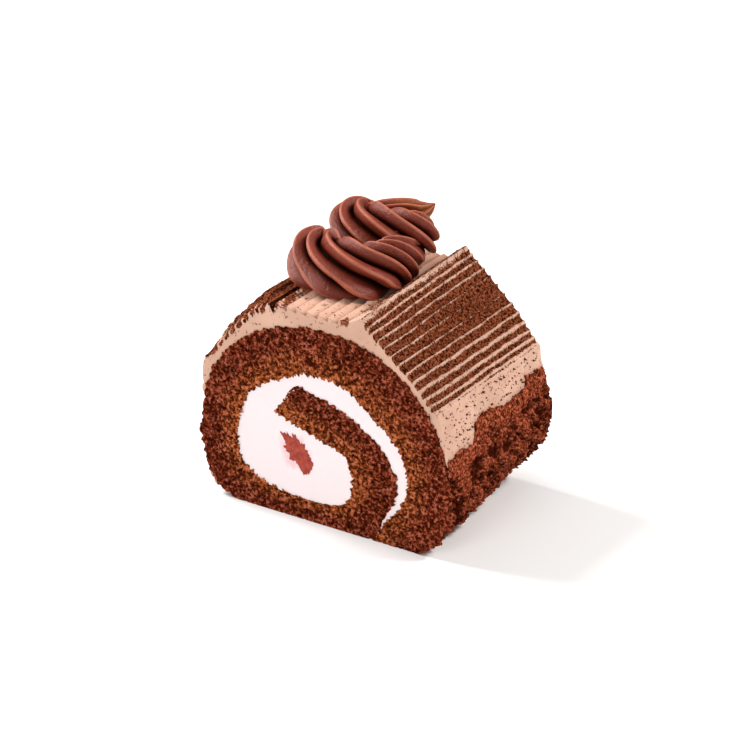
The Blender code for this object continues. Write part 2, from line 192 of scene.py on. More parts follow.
def addMesh(name, points, faces, finish, marks=None, sharpAbove=62):
    # Points in millimetres become a closed mesh object with outward faces, kept inside the solids'
    # box. An edge that bends by more than sharpAbove degrees is sharp, and marks become attributes.
    mesh = bpy.data.meshes.new(name)
    mesh.from_pydata(np.clip(np.asarray(points) * mm, *cadBox).tolist(), [], faces)
    mesh.polygons.foreach_set("use_smooth", np.ones(len(mesh.polygons), bool))
    shape = bmesh.new()
    shape.from_mesh(mesh)
    bmesh.ops.recalc_face_normals(shape, faces=shape.faces)
    shape.to_mesh(mesh)
    shape.free()
    mesh.set_sharp_from_angle(angle=math.radians(sharpAbove))
    for mark, values in (marks or {}).items():
        layer = mesh.attributes.new(mark, "FLOAT", "POINT")
        layer.data.foreach_set("value", np.asarray(values, np.float32).ravel())
    mesh.materials.append(finish)
    piece = bpy.data.objects.new(name, mesh)
    bpy.context.scene.collection.objects.link(piece)
    return piece


def tubeFaces(rings, around, start=0):
    # quads from ring to ring, closed around, with a face on each end
    k = start + np.arange((rings - 1) * around).reshape(rings - 1, around)
    beside = np.roll(k, -1, axis=1)
    quads = np.stack([k, beside, beside + around, k + around], axis=-1).reshape(-1, 4).tolist()
    last = start + (rings - 1) * around
    return quads + [list(range(start, start + around)), list(range(last, last + around))]


def sweptMesh(name, grid, finish, marks=None):
    # grid[ring, around] of points, as one closed tube
    return addMesh(name, grid.reshape(-1, 3), tubeFaces(*grid.shape[:2]), finish, marks)


def settle(piece, slot, *nodes):
    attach(piece, "root")
    if nodes:
        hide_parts(*nodes)
    print("made", piece.name, len(piece.data.polygons), "faces")


def put(tree, kind, values=None, links=None, **settings):
    # a shader node with its sockets' values, what is linked to them, and its own settings
    node = tree.nodes.new("ShaderNode" + kind)
    for name, value in settings.items():
        setattr(node, name, value)
    for name, value in (values or {}).items():
        node.inputs[name].default_value = value
    for name, socket in (links or {}).items():
        tree.links.new(socket, node.inputs[name])
    return node


# a socket knows its tree: the helpers below take it from their first value
def blendColour(share, first, second):
    tree = share.id_data
    node = put(tree, "Mix", data_type="RGBA")
    for place, value in ((0, share), (6, first), (7, second)):
        if isinstance(value, bpy.types.NodeSocket):
            tree.links.new(value, node.inputs[place])
        elif isinstance(value, tuple):
            node.inputs[place].default_value = (*value, 1.0)
        else:
            node.inputs[place].default_value = value
    return node.outputs[2]


def spread(value, low, high, to=(0.0, 1.0)):
    # value from low to high, eased, becomes the two values of to
    node = put(value.id_data, "MapRange", interpolation_type="SMOOTHSTEP", links={0: value})
    for place, number in zip((1, 2, 3, 4), (low, high, *to)):
        node.inputs[place].default_value = number
    return node.outputs[0]


def combine(operation, first, second):
    # a socket and a number or another socket, by a Math node
    linked = isinstance(second, bpy.types.NodeSocket)
    values, links = ({}, {0: first, 1: second}) if linked else ({1: second}, {0: first})
    return put(first.id_data, "Math", values, links, operation=operation).outputs[0]


def times(first, second):
    return combine("MULTIPLY", first, second)


def plus(first, second):
    return combine("ADD", first, second)


def startMaterial(name, roughness, specular, soft=(0.0, 0.001)):
    # soft is the share of light that goes under the surface, and how far in metres
    made = bpy.data.materials.new(name)
    made.use_nodes = True
    shader = made.node_tree.nodes["Principled BSDF"]
    sockets = ("Roughness", "Specular IOR Level", "Subsurface Weight", "Subsurface Scale")
    for socket, value in zip(sockets, (roughness, specular, *soft)):
        shader.inputs[socket].default_value = value
    return made, made.node_tree, shader


def objectPlace(tree):
    return put(tree, "TexCoord").outputs["Object"]


def markValue(tree, mark):
    return put(tree, "Attribute", attribute_name=mark).outputs["Fac"]


def cloudNoise(place, scale, detail, roughness=0.5):
    values = {"Scale": scale, "Detail": detail, "Roughness": roughness}
    return put(place.id_data, "TexNoise", values, {"Vector": place}).outputs[0]


def grainGroup():
    # Two sizes of noise in object space, as a height and as a speckle mask
    group = bpy.data.node_groups.new("fineGrain", "ShaderNodeTree")
    for direction, sockets in (("INPUT", ("Scale", "Specks")), ("OUTPUT", ("Height", "Grain", "Specks"))):
        for socket in sockets:
            group.interface.new_socket(socket, in_out=direction, socket_type="NodeSocketFloat")
    scale, least = group.nodes.new("NodeGroupInput").outputs[:2]
    out = group.nodes.new("NodeGroupOutput")
    place = objectPlace(group)
    coarse = put(group, "TexNoise", {"Detail": 3.0, "Roughness": 0.6}, {"Vector": place, "Scale": scale})
    finer = times(scale, 2.3)
    cells = put(group, "TexVoronoi", None, {"Vector": place, "Scale": finer})
    high = plus(coarse.outputs[0], times(cells.outputs[0], 0.5))
    half = times(scale, 0.5)
    dots = put(group, "TexNoise", {"Detail": 2.0, "Roughness": 0.7}, {"Vector": place, "Scale": half})
    above = combine("SUBTRACT", dots.outputs[0], least)
    group.links.new(high, out.inputs["Height"])
    group.links.new(coarse.outputs[0], out.inputs["Grain"])
    group.links.new(spread(above, 0.0, 0.04), out.inputs["Specks"])
    return group


def dress(made, colour, height, strength, distance):
    tree = made.node_tree
    shader = tree.nodes["Principled BSDF"]
    tree.links.new(colour, shader.inputs["Base Color"])
    bump = put(tree, "Bump", {"Strength": strength, "Distance": distance}, {"Height": height})
    tree.links.new(bump.outputs[0], shader.inputs["Normal"])
    return made


fineGrain = grainGroup()


def grainOf(tree, scale, least):
    # the group's height, grain and specks at this scale; specks are where its noise passes least
    node = tree.nodes.new("ShaderNodeGroup")
    node.node_tree = fineGrain
    node.inputs["Scale"].default_value, node.inputs["Specks"].default_value = scale, least
    return node.outputs[:3]


tones = {
    # crumb beside the cream, crumb at the sheet's outer side, painted shade in the pores
    "sponge": ((0.29, 0.068, 0.018), (0.165, 0.027, 0.010), (0.035, 0.003, 0.001)),
    "torn": ((0.26, 0.053, 0.020), (0.24, 0.046, 0.018), (0.03, 0.003, 0.001)),
    # painted highlight on the crumb's raised tips
    "litCrumbTips": (0.50, 0.24, 0.165),
    "milk": (0.88, 0.78, 0.79),
    "milkStain": (0.80, 0.36, 0.40),
    "milkSpecks": (0.75, 0.55, 0.42),
    # the darker and the lighter tone of each of these
    "sauce": ((0.28, 0.018, 0.009), (0.42, 0.056, 0.022)),
    "coat": ((0.60, 0.36, 0.262), (0.70, 0.435, 0.325)),
    "dusting": ((0.025, 0.003, 0.001), (0.34, 0.094, 0.040)),
    "grains": ((0.045, 0.007, 0.002), (0.30, 0.080, 0.030)),
    # colour of the coat's specks, and of its painted shade
    "speckAndShadeTone": (0.22, 0.085, 0.045),
    # painted shadow, nearly black, down in the groove
    "groove": (0.03, 0.006, 0.002),
    # the rope's faces, painted shade in its valleys, painted highlight on its crests, and its dry tail
    "piped": ((0.20, 0.031, 0.014), (0.010, 0.001, 0.0), (0.40, 0.100, 0.048), (0.52, 0.19, 0.06)),
    "specks": (0.13, 0.035, 0.016),
}


def crumbFinish(name, colours, relief):
    # Crumb: reddish outside and more golden beside the cream, with painted light that brightens its raised
    # grain and tips, and painted shade that makes it nearly black down in its pores
    inside, outside, deep = colours
    made, tree, _ = startMaterial(name, 0.9, 0.0)
    fine, grain, _ = grainOf(tree, 1250.0, 0.6)
    place = objectPlace(tree)
    patches = times(cloudNoise(place, 180.0, 3.0), 0.6)
    side = spread(plus(markValue(tree, "across"), patches), 0.35, 1.0)
    # painted light and shade: brighter where the grain's bump stands high, darker where it lies low
    light = spread(grain, 0.36, 0.68, (0.25, 2.2))
    colour = blendColour(side, inside, outside)
    lit = put(tree, "VectorMath", None, {0: colour, "Scale": light}, operation="SCALE").outputs[0]
    lit = blendColour(spread(grain, 0.5, 0.72, (0.0, 0.5)), lit, tones["litCrumbTips"])
    pits = cloudNoise(place, 800.0, 3.5, 0.7)
    pore = spread(markValue(tree, "pore"), 0.25, 0.9)
    # painted shade in the pores and in the low pits
    poreShade = combine("MAXIMUM", pore, spread(pits, 0.48, 0.34))
    colour = blendColour(times(poreShade, 0.9), lit, deep)
    return dress(made, colour, plus(fine, spread(pits, 0.3, 0.5)), relief, 0.0003)


def milkFinish():
    made, tree, shader = startMaterial("milkCream", 0.55, 0.15, (0.15, 0.001))
    shader.inputs["Subsurface Radius"].default_value = (1.0, 0.6, 0.5)
    place = objectPlace(tree)
    # the stain fades out over a few millimetres round the sauce's middle, streaked along the cut
    away = place
    for operation, second in (("SUBTRACT", (-0.0085, 0.0, 0.0192)), ("MULTIPLY", (1.0, 0.0, 0.9))):
        away = put(tree, "VectorMath", {1: second}, {0: away}, operation=operation).outputs[0]
    away = put(tree, "VectorMath", None, {0: away}, operation="LENGTH").outputs["Value"]
    streaks = times(cloudNoise(place, 420.0, 3.0), -0.006)
    stain = spread(plus(away, streaks), -0.0008, 0.0026, (0.5, 0.0))
    colour = blendColour(stain, tones["milk"], tones["milkStain"])
    fine, _, specks = grainOf(tree, 1300.0, 0.72)
    colour = blendColour(times(specks, 0.12), colour, tones["milkSpecks"])
    return dress(made, colour, fine, 0.12, 0.0001)


def sauceFinish():
    made, tree, _ = startMaterial("strawberrySauce", 0.4, 0.3, (0.05, 0.0006))
    pulp = cloudNoise(objectPlace(tree), 700.0, 4.0)
    colour = blendColour(spread(pulp, 0.3, 0.7), *tones["sauce"])
    return dress(made, colour, pulp, 0.35, 0.0003)


def coatFinish():
    # Pale chocolate cream with fine specks; cocoa powder lies where the mesh is marked with it, and painted
    # shade darkens the creases, the groove and the skirt where the mesh is marked with shade
    made, tree, shader = startMaterial("combedCream", 0.55, 0.08, (0.1, 0.001))
    fine, dust, specks = grainOf(tree, 1500.0, 0.62)
    place = objectPlace(tree)
    broad = cloudNoise(place, 90.0, 2.0)
    cream = blendColour(spread(broad, 0.3, 0.7), *tones["coat"])
    cream = blendColour(times(specks, 0.75), cream, tones["speckAndShadeTone"])
    powder = blendColour(spread(dust, 0.39, 0.63), *tones["dusting"])
    # clumps of powder break up the edge of the marked places
    clumps = times(cloudNoise(place, 1700.0, 3.0, 0.75), 2.4)
    cover = spread(plus(markValue(tree, "cocoa"), clumps), 1.62, 1.74)
    tree.links.new(spread(cover, 0.0, 1.0, (0.6, 0.95)), shader.inputs["Roughness"])
    tree.links.new(spread(cover, 0.0, 1.0, (0.08, 0.0)), shader.inputs["Specular IOR Level"])
    # painted shade: up to 1 it darkens the creases, the skirt and the channel towards the rope, and from 1
    # to 1.5 it turns as dark as the groove's painted shadow
    paintedShade = markValue(tree, "paintedShade")
    shade = spread(paintedShade, 0.0, 1.0, (0.0, 0.9))
    colour = blendColour(shade, blendColour(cover, cream, powder), tones["speckAndShadeTone"])
    colour = blendColour(spread(paintedShade, 1.0, 1.5), colour, tones["groove"])
    rise = times(fine, spread(cover, 0.0, 1.0, (0.12, 1.0)))
    return dress(made, colour, rise, 0.9, 0.0004)


def grainsFinish():
    made, tree, _ = startMaterial("cocoaPowder", 0.95, 0.0)
    fine, dust, _ = grainOf(tree, 2300.0, 0.6)
    colour = blendColour(spread(dust, 0.32, 0.68), *tones["grains"])
    return dress(made, colour, fine, 0.6, 0.0002)


def ropeFinish():
    # Dark chocolate cream: painted highlight makes its crests redder and brighter, and painted shade makes
    # its creases nearly black
    face, deep, crestHighlight, tail = tones["piped"]
    made, tree, shader = startMaterial("pipedChocolate", 0.42, 0.5, (0.08, 0.001))
    shader.inputs["Subsurface Radius"].default_value = (1.0, 0.35, 0.2)
    valley = markValue(tree, "valley")
    fine, grain, _ = grainOf(tree, 1100.0, 0.68)
    # painted shade, nearly black, down in the valleys
    colour = blendColour(spread(valley, 0.3, 0.8), face, deep)
    # painted highlight: redder and brighter on the crests
    colour = blendColour(spread(valley, 0.01, 0.13), crestHighlight, colour)
    # the flicked tail, which reaches furthest back, is drier and more orange
    place = objectPlace(tree)
    away = put(tree, "SeparateXYZ", None, {0: place}).outputs["Y"]
    dry = times(spread(away, 0.0145, 0.0195, (0.0, 0.6)), grain)
    colour = blendColour(dry, colour, tail)
    tree.links.new(spread(valley, 0.2, 0.7, (0.38, 0.02)), shader.inputs["Specular IOR Level"])
    folds = times(cloudNoise(place, 330.0, 5.0, 0.6), 1.6)
    return dress(made, colour, plus(fine, folds), 0.6, 0.0004)


def speckFinish():
    made, _, shader = startMaterial("darkSpeck", 0.8, 0.1)
    shader.inputs["Base Color"].default_value = (*tones["specks"], 1.0)
    return made


spongeCrumb = crumbFinish("cocoaCrumb", tones["sponge"], 1.0)
tornCrumb = crumbFinish("tornCrumb", tones["torn"], 0.6)
whiteCream, redSauce, combedCream = milkFinish(), sauceFinish(), coatFinish()
cocoaGrains, pipedCream, darkSpecks = grainsFinish(), ropeFinish(), speckFinish()
print("finishes ready")

spongeLook = {
    "spacing": 0.27,  # between stations along the sheet
    "frontSteps": 44,
    "backSteps": 32,
    "outerSteps": 12,
    "innerSteps": 5,
    "poreSize": 0.8,
    "poreDepth": 0.5,
    "ragged": 0.75,
    "raggedSize": 0.7,
    "reach": 0.3,  # past the solid's sides, so that no air shows beside the creams
    "edgeFade": 2.0,
    "sideFold": 3.0,  # the bare side lies this much deeper, under the torn crumb
    "foldRow": 17.8,
}


def poreAt(x, y, z, size, seed):
    # pores are where two sizes of noise add up to more than a little: 0 on the crumb, 1 deep in a pore
    value = noiseAt(x, y, z, size, seed) + 0.9 * noiseAt(x, y, z, size * 0.52, seed + 7)
    return ease((value + 0.25) / 1.3)


def rollSponge():
    # The section across the sheet goes round its front, outer, back and inner side, and is carried
    # from the inner end to the outer end: point = inner + (outer - inner) t, at the depth y. Ragged
    # edges move it along the cut by noise, and pores move the two faces inwards.
    look = spongeLook
    inner, outer, rows, lengths = sheetSection(look["spacing"])
    frontT = np.linspace(0, 1, look["frontSteps"] + 1)
    backT = np.linspace(1, 0, look["backSteps"] + 1)
    outerY = np.linspace(frontY + 0.5, backY - 0.5, look["outerSteps"])
    innerY = np.linspace(backY - 0.5, frontY + 0.5, look["innerSteps"])
    t = np.concatenate([frontT, np.ones(len(outerY)), backT, np.zeros(len(innerY))])[None, :]
    y = np.concatenate([frontT * 0 + frontY, outerY, backT * 0 + backY, innerY])[None, :]
    y = np.repeat(y, len(lengths), axis=0)
    thickness = np.linalg.norm(outer - inner, axis=1)[:, None]
    way = (outer - inner) / thickness
    outX = outer[:, :1] - undercut(outer[:, :1], y, outer[:, 1:])
    x = inner[:, :1] + (outX - inner[:, :1]) * t
    z = inner[:, 1:] + (outer[:, 1:] - inner[:, 1:]) * t
    inDeep = ease(np.minimum(y - frontY, backY - y) / 1.5)
    fold = look["sideFold"] * ease((rows - look["foldRow"]) / 0.6)[:, None] * inDeep * (t == 1)
    inEdge, outEdge = (
        look["reach"] + look["ragged"] * roughAt(lengths[:, None], y, 0, look["raggedSize"], seed)
        for seed in (3, 5)
    )
    pull = outEdge * np.clip(1 - (1 - t) * thickness / look["edgeFade"], 0, 1) - fold
    pull = pull - inEdge * np.clip(1 - t * thickness / look["edgeFade"], 0, 1)
    # the sheet's inner end is ragged along its own line
    tip = 0.7 * roughAt(t * thickness, y, 0, 1.3, 11) * np.clip(1 - lengths[:, None] / 2.2, 0, 1)
    along = inner[0] + outer[0] - inner[8] - outer[8]
    along = along / np.linalg.norm(along)
    onSide = (y > frontY) & (y < backY)
    pull = np.where(onSide, (0.5 - t) * 0.4 - fold, pull)
    x = x + way[:, :1] * pull + along[0] * tip
    z = z + way[:, 1:] * pull + along[1] * tip
    pore = poreAt(x, y, z, look["poreSize"], 21)
    dent = look["poreDepth"] * pore * (0.1 + 0.9 * ease((np.minimum(t, 1 - t) * thickness - 0.8) / 1.2))
    y = y + dent * (y <= frontY) - dent * (y >= backY)
    points = xyz(x, y, np.maximum(z, 0.0))
    # the pore mark darkens the crumb's colour too: painted shade in the pores
    marks = {"pore": pore, "across": t + 0 * pore}
    settle(sweptMesh("rollSponge", points, spongeCrumb, marks), "cocoa_sponge", "sponge")


rollSponge()

tornLook = {
    "spacing": 0.34,
    "lumpSize": 2.6,
    "lumpHeight": 1.9,
    "knobSize": 1.5,
    "knobHeight": 1.2,
    "crumbSize": 0.75,
    "crumbHeight": 0.4,
    "below": 0.7,  # mean depth of the torn surface under the sheet's side
    "most": 1.0,  # how far a lump stands out at most
    "rim": 1.1,  # and how much more along the skirt's ragged edge
    "thickness": 3.2,
}


def tornSide():
    # The bare side: a slab on the sheet's outer side whose surface is lumps, crumbs and pores, each a
    # noise in space that moves it along the way out of the sheet. It dives under the coat's skirt.
    look = tornLook
    inner, outer, rows, _ = sheetSection()
    side = np.column_stack([inner, outer])[rows >= bareRow]
    lengths = lengthsAlong(side[:, 2:])
    stations = np.arange(0, lengths[-1], look["spacing"])
    inX, inZ, outX, outZ = (np.interp(stations, lengths, column)[:, None] for column in side.T)
    reach = np.hypot(outX - inX, outZ - inZ)
    wayX, wayZ = (outX - inX) / reach, (outZ - inZ) / reach
    depths = np.arange(frontY + 0.2, backY - 0.15, look["spacing"])[None, :]
    x = outX - undercut(outX, depths, outZ)
    y = depths + 0 * x
    z = outZ + 0 * x
    lean = y + 0.5 * z
    lumps = look["lumpHeight"] * noiseAt(x, lean, z * 0.55, look["lumpSize"], 31)
    knobs = look["knobHeight"] * (0.6 - 1.6 * np.abs(noiseAt(x, lean, z * 0.8, look["knobSize"], 33)))
    height = lumps - knobs + look["crumbHeight"] * roughAt(x, y, z, look["crumbSize"], 37) - look["below"]
    line = coatEdge(y) + 0.4 * noiseAt(9.0, y, 3.0, 2.6, 43) + 0.5 * roughAt(0, y, z, 1.0, 45)
    height = height + look["rim"] * np.exp(-(((line - 1.2 - z) / 1.6) ** 2))
    height = np.minimum(height, look["most"])
    under = np.maximum(line - z, 0)
    # beside the skirt the crumb never lies lower than this, so that no gap opens under its edge
    least = 1.15 + 0.3 * roughAt(x, y, z, 0.9, 47) - 0.06 * under - 0.9 * np.maximum(under - 3.0, 0)
    height = np.maximum(height, least)
    height = height - (height + 3.0) * ease((z - line) / 0.9)
    topX, topZ = np.minimum(x + wayX * height, rightX), np.maximum(z + wayZ * height, 0.0)
    surface = xyz(topX, y, topZ)
    lowX, lowZ = x - wayX * (look["thickness"] + 0.6), np.maximum(z - wayZ * look["thickness"], 0.0)
    grid = np.concatenate([surface, xyz(lowX, y, lowZ)[:, ::-1]], axis=1)
    # painted shade: darker where the torn surface lies low, uneven by noise; the hidden inner side is fully
    # shaded
    deep = 0.45 * noiseAt(x, y, z, 1.7, 39) + 0.3 * noiseAt(x, y, z, 0.75, 41)
    deep = np.clip(ease((0.5 - height) / 2.4) + deep + 0.05, 0, 1)
    marks = {
        "pore": np.concatenate([deep, np.ones_like(deep)], axis=1),
        "across": np.ones(grid.shape[:2]),
    }
    settle(sweptMesh("tornSide", grid, tornCrumb, marks), "cocoa_sponge")
    return surface


tornSurface = tornSide()

creamLook = {
    "spacing": 0.45,
    "steps": 56,
    "sunk": 0.15,  # the cream's face lies this far behind the crumb's
    "under": 0.9,  # how far it reaches under the crumb's ragged edge
    "rimDrop": 0.5,  # how much deeper its hidden rim lies
    # row on the roll's inner side, row on the arm, and the share of the way from the arm's outer
    # side to its inner side, for straight lines across the cream
    "lines": (
        (22.0, 7.0, 0.0), (21.0, 6.0, 0.0), (20.0, 5.0, 0.0), (19.0, 4.0, 0.0),
        (18.0, 3.2, 0.0), (17.0, 2.5, 0.0), (16.0, 1.6, 0.0), (15.0, 0.6, 0.0),
        (14.3, 0.0, 0.0), (12.6, 0.0, 1.0), (11.3, 1.0, 1.0), (10.1, 2.0, 1.0),
        (9.3, 3.0, 1.0), (8.5, 4.0, 1.0), (7.8, 5.0, 1.0), (7.3, 6.0, 1.0),
        (7.0, 6.6, 1.0),
    ),
}


def milkCream():
    # Straight lines join the roll's inner side to the arm all the way round the cream. Each is a
    # front row and a back row of points, and the two faces swell and dip by soft noise.
    look = creamLook
    inner, outer, rows, _ = sheetSection()
    lines = np.array(look["lines"])
    fine = np.linspace(0, len(lines) - 1, 4000)
    rollRow, armRow, share = (np.interp(fine, np.arange(len(lines)), column) for column in lines.T)
    rollSide = readAt(rollRow, rows, inner)
    armIn, armOut = readAt(armRow, rows, inner), readAt(armRow, rows, outer)
    arm = armOut + (armIn - armOut) * share[:, None]
    lengths = (lengthsAlong(rollSide) + lengthsAlong(arm)) / 2
    stations = np.linspace(0, lengths[-1], round(lengths[-1] / look["spacing"]) + 1)
    ends = readAt(stations, lengths, np.column_stack([rollSide, arm]))
    first, last = ends[:, :2], ends[:, 2:]
    across = unit(last - first)
    first, last = first - across * look["under"], last + across * look["under"]
    v = np.linspace(0, 1, look["steps"] + 1)[None, :, None]
    flat = first[:, None] + (last - first)[:, None] * v
    x, z = flat[..., 0], np.maximum(flat[..., 1], 0.0)
    dip = look["sunk"] + 0.04 * noiseAt(x, 0, z, 5.0, 51) + 0.02 * noiseAt(x, 0, z, 1.1, 53)
    fromRim = np.minimum(v, 1 - v)[..., 0] * np.linalg.norm(last - first, axis=1)[:, None]
    dip = dip + look["rimDrop"] * ease(1 - fromRim / 0.5)
    front = xyz(x, frontY + dip, z)
    back = xyz(x, backY - dip, z)
    grid = np.concatenate([front, back[:, ::-1]], axis=1)
    settle(sweptMesh("milkCream", grid, whiteCream), "milk_cream", "milk_cream")


milkCream()

sauceLook = {
    "corners": (
        (-12.4, 23.9), (-9.0, 23.2), (-5.0, 21.4), (-3.0, 17.4), (-4.9, 13.2), (-7.7, 15.6), (-11.2, 19.6)
    ),
    "around": 160,
    "rings": 12,
    "ragged": 0.75,
    "streaks": 1.5,
}


def sauceCore():
    # A closed smooth outline with a ragged edge, filled by rings that shrink towards its middle on
    # the front and the back face.
    look = sauceLook
    corners = np.array(look["corners"])
    loop = throughPoints(np.vstack([corners[-1:], corners, corners[:2]]), 40)[40:-80]
    lengths = lengthsAlong(np.vstack([loop, loop[:1]]))
    loop = pointsAlong(np.vstack([loop, loop[:1]]), np.arange(look["around"]) / look["around"] * lengths[-1])
    middle = loop.mean(axis=0)
    away = loop - middle
    size = np.linalg.norm(away, axis=1)[:, None]
    rough = look["ragged"] * roughAt(loop[:, :1], loop[:, 1:], 0, 1.0, 61, 4)
    streaks = np.maximum(noiseAt(np.arange(look["around"])[:, None] * 0.4, 0, 0, 1.0, 63), 0)
    streaks = streaks * (away[:, :1] < -0.5)  # they run out on the left side only
    away = away / size * (size + rough + look["streaks"] * streaks)
    shares = np.linspace(0.05, 1.0, look["rings"])
    swell = 0.03 - 0.05 * (1 - shares**2)
    shares = np.concatenate([shares, shares[::-1]])
    depths = np.concatenate([frontY + 0.06 + swell, (backY - 0.06 - swell)[::-1]])
    flat = middle + away[None] * shares[:, None, None]
    rough = 0.05 * noiseAt(flat[..., 0], 0, flat[..., 1], 0.8, 67)
    y = depths[:, None] + rough * np.sign(-depths)[:, None]
    grid = xyz(flat[..., 0], y, flat[..., 1])
    settle(sweptMesh("sauceCore", grid, redSauce), "strawberry_sauce", "strawberry_sauce")


sauceCore()

coatLook = {
    "spacing": 0.25,
    "skirtSteps": 40,
    "faceSteps": 11,
    "innerSteps": 4,
    "rightPanel": ((35.9, 42.0), (29.2, 49.8), (24.0, 54.0), (19.0, 58.2), (12.6, 63.5)),
    "channel": ((8.6, 61.5), (-14.0, 61.2)),
    "groove": (-15.2, 58.6),
    "leftPanel": ((-16.2, 60.9), (-21.5, 60.4), (-26.0, 56.2), (-32.0, 49.8), (-38.0, 42.4)),
    "leftSide": ((-38.3, 40.0), (-38.4, 34.5)),
    "skin": 1.2,  # its thickness
    "overlap": 2.2,  # the skirt reaches this far down under the torn crumb
    "crestRise": 1.8,  # the right crest is this much higher at the back
    "rightPace": 1.15,  # how fast the ridges' paleness changes from front to back
    "leftPace": 11.0,
    # distance from the crest, paleness at the front, paleness at the back and width of each ridge
    "rightRidges": (
        (0.4, 0.8, 0.85, 0.8), (2.7, 0.9, 0.9, 0.40), (4.8, 0.9, 0.85, 0.34),
        (7.3, 0.8, 0.9, 0.32), (9.9, 0.9, 0.4, 0.26), (12.7, 1.0, 0.2, 0.26),
        (15.7, 1.0, 0.35, 0.28), (18.7, 0.95, 0.8, 0.32), (21.7, 1.0, 1.0, 0.40),
        (24.5, 1.0, 1.0, 0.5), (27.1, 1.0, 1.0, 0.5), (29.3, 1.0, 1.0, 0.45),
        (31.1, 1.0, 1.0, 0.5),
    ),
    "leftRidges": (
        (0.6, 0.3, 0.2, 0.35), (3.4, 0.8, 0.0, 0.35), (6.6, 0.9, 0.0, 0.4),
        (9.8, 0.95, 0.1, 0.4), (13.0, 0.95, 0.15, 0.4), (16.1, 0.95, 0.25, 0.4),
        (19.2, 0.95, 0.35, 0.4), (22.2, 0.95, 0.5, 0.4), (25.2, 1.0, 1.0, 0.5),
    ),
    "channelRims": (0.6, 3.2, 6.4, 9.6, 13.3, 16.4, 19.4, 22.2),
    "ridgeDepth": 0.75,
    "rimDepth": 1.0,
    "shoulder": 2.2,  # the left panel starts this much lower at the cut face
}


def coatStations(look):
    # The coat's outer line from the right panel's foot to the left foot, as equal steps, and the
    # lengths at which its parts start
    _, outer, rows, _ = sheetSection()
    right = throughPoints(look["rightPanel"], 40)
    left = throughPoints(look["leftPanel"], 40)
    side = outer[(rows >= skinRows[0]) & (rows <= skinRows[1])][::-1]
    along = unit(np.gradient(side, axis=0))
    skin = side + look["skin"] * np.column_stack([along[:, 1], -along[:, 0]])
    parts = [right, look["channel"], [look["groove"]], left, look["leftSide"], skin]
    line = np.vstack(parts)
    lengths = lengthsAlong(line)
    starts = lengths[np.cumsum([0] + [len(part) for part in parts[:-1]])]
    stations = np.arange(0, lengths[-1], look["spacing"])
    return readAt(stations, lengths, line), stations, starts, lengths[len(right) - 1]


def ridgeBells(distance, y, ridges, pace, seed):
    # Each ridge is a bell curve across the panel, exp(-(gap / width)^2), steeper on its upper side,
    # which wanders a little along its length. Returns the highest bell and how pale its top is.
    high = pale = np.zeros(np.broadcast(distance, y).shape)
    back = depthShare(y)
    for k, (place, atFront, atBack, width) in enumerate(ridges):
        wander = 0.28 * noiseAt(y, k * 3.1, 0, 11.0, seed) + 0.12 * noiseAt(y, k * 3.1, 0, 3.0, seed + 1)
        gap = distance - place - wander
        uneven = width * (1 + 0.35 * roughAt(y, k * 7.7, 0, 1.4, seed + 3))
        bell = np.exp(-((gap / (uneven * np.where(gap < 0, 0.75, 1.35))) ** 2))
        tone = atFront + (atBack - atFront) * ease(back * pace)
        tone = tone + 0.3 * roughAt(y, k * 5.3, distance, 0.8, seed + 2)
        pale = np.where(bell > high, bell * np.clip(tone, 0, 1.1), pale)
        high = np.maximum(high, bell)
    return high, pale


